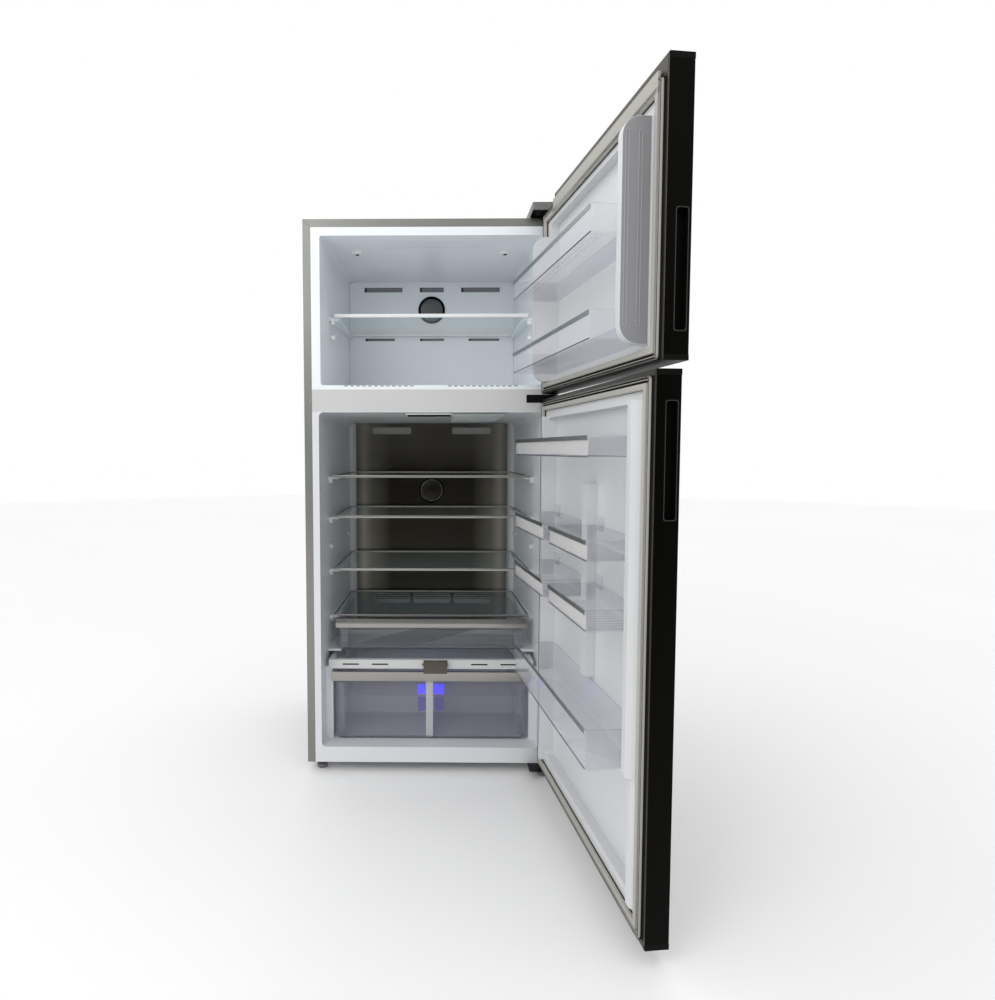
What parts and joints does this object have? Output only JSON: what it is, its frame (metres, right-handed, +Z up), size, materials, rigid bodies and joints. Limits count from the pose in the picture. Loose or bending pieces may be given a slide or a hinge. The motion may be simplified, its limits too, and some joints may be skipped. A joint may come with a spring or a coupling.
{
  "type": "top freezer refrigerator",
  "caption": "Upright refrigerator with a freezer compartment above, hinged doors with storage bins, glass shelves, a chiller drawer and a crisper drawer.",
  "frame": {"origin": "on the floor, at the middle of the cabinet's width, in the plane of the cabinet's front face", "axes": "+X to the viewer's right, +Y from the front face into the cabinet, +Z up"},
  "size_m": [0.9465, 1.5274, 1.8845],
  "materials": {
    "shell_steel": "brushed",
    "back_zinc": "satin",
    "foam": "matte",
    "liner_white": "satin",
    "front_white": "satin",
    "duct_dark_steel": "brushed",
    "cap_grey": "satin",
    "black_plastic": "satin",
    "hinge_steel": "satin",
    "black_enamel": "satin",
    "coil_aluminium": "satin",
    "condenser_black": "matte",
    "shelf_glass": "polished",
    "trim_steel": "brushed",
    "freezer_trim_white": "satin",
    "clear_plastic": "polished",
    "bin_trim": "satin",
    "lens": "frosted",
    "light_blue": "glossy",
    "slider_bronze": "satin",
    "door_skin": "brushed",
    "door_liner": "satin",
    "gasket": "matte",
    "grip": "satin",
    "foot_plastic": "matte",
    "divider_white": "satin",
    "roller_nylon": "matte"
  },
  "bodies": {
    "cabinet": {"outer_shell": "shell_steel", "back_sheet": "back_zinc", "cabinet_foam": "foam", "freezer_liner": "liner_white", "fridge_liner": "liner_white", "mullion_cover": "front_white", "base_plate": "back_zinc", "machine_cover": "back_zinc", "inlet_gland": "black_plastic", "compressor": "black_enamel", "condenser_coil": "condenser_black", "condenser_fan_motor": "black_plastic", "freezer_duct_panel": "liner_white", "freezer_fan_cap": "cap_grey", "freezer_fan_motor": "black_plastic", "evaporator": "coil_aluminium", "fridge_duct_panel": "duct_dark_steel", "air_filter_cap": "black_plastic", "lamp_lens": "lens", "crisper_light": "light_blue", "crisper_cover_frame": "front_white", "crisper_cover_glass": "shelf_glass", "top_hinge": "hinge_steel", "top_hinge_cover": "black_plastic", "middle_hinge": "hinge_steel", "bottom_hinge": "hinge_steel", "hinge_plugs": "front_white", "freezer_shelf_glass": "shelf_glass", "freezer_shelf_trims": "freezer_trim_white", "fridge_shelf_glass": "shelf_glass", "fridge_shelf_trims": "trim_steel"},
    "freezer_fan": {"freezer_fan": "black_plastic"},
    "condenser_fan": {"condenser_fan": "black_plastic"},
    "chiller_drawer": {"chiller_drawer": "clear_plastic", "chiller_handle": "trim_steel"},
    "crisper_drawer": {"crisper_drawer": "clear_plastic", "crisper_handle": "trim_steel", "crisper_divider": "divider_white"},
    "humidity_slider": {"humidity_slider": "slider_bronze"},
    "left_foot": {"left_foot": "foot_plastic"},
    "right_foot": {"right_foot": "foot_plastic"},
    "rear_rollers": {"rear_rollers": "roller_nylon"},
    "freezer_door": {"freezer_door_skin": "door_skin", "freezer_door_foam": "foam", "freezer_door_liner": "door_liner", "freezer_door_end_caps": "black_plastic", "freezer_door_grip": "grip", "freezer_door_gasket": "gasket", "freezer_upper_bin": "clear_plastic", "freezer_lower_bin": "clear_plastic", "freezer_bin_trims": "bin_trim"},
    "fridge_door": {"fridge_door_skin": "door_skin", "fridge_door_foam": "foam", "fridge_door_liner": "door_liner", "fridge_door_end_caps": "black_plastic", "fridge_door_grip": "grip", "fridge_door_gasket": "gasket", "fridge_full_bins": "clear_plastic", "fridge_half_bins": "clear_plastic", "fridge_bin_trims": "bin_trim"}
  },
  "joints": [
    {"name": "freezer_door_hinge", "type": "hinge", "parent": "cabinet", "child": "freezer_door", "pos_m": [0.3955, -0.039, 1.5], "axis": [0, 0, 1], "range_deg": [-97.4, 32.6]},
    {"name": "fridge_door_hinge", "type": "hinge", "parent": "cabinet", "child": "fridge_door", "pos_m": [0.3955, -0.039, 0.6], "axis": [0, 0, 1], "range_deg": [-96.5, 33.5]},
    {"name": "chiller_slide", "type": "slide", "parent": "cabinet", "child": "chiller_drawer", "axis": [0, -1, 0], "range_m": [0, 0.165]},
    {"name": "crisper_slide", "type": "slide", "parent": "cabinet", "child": "crisper_drawer", "axis": [0, -1, 0], "range_m": [0, 0.26]},
    {"name": "humidity_slide", "type": "slide", "parent": "cabinet", "child": "humidity_slider", "axis": [1, 0, 0], "range_m": [-0.02, 0.02]},
    {"name": "freezer_fan_spin", "type": "hinge", "parent": "cabinet", "child": "freezer_fan", "pos_m": [0, 0.568, 1.673], "axis": [0, 1, 0], "continuous": true},
    {"name": "condenser_fan_spin", "type": "hinge", "parent": "cabinet", "child": "condenser_fan", "pos_m": [-0.062, 0.56, 0.15], "axis": [1, 0, 0], "continuous": true},
    {"name": "left_foot_turn", "type": "hinge", "parent": "cabinet", "child": "left_foot", "pos_m": [-0.377, 0.04, 0.01], "axis": [0, 0, 1], "continuous": true},
    {"name": "right_foot_turn", "type": "hinge", "parent": "cabinet", "child": "right_foot", "pos_m": [0.382, -0.01, 0.01], "axis": [0, 0, 1], "continuous": true},
    {"name": "roller_spin", "type": "hinge", "parent": "cabinet", "child": "rear_rollers", "pos_m": [0, 0.61, 0.016], "axis": [1, 0, 0], "continuous": true}
  ]
}
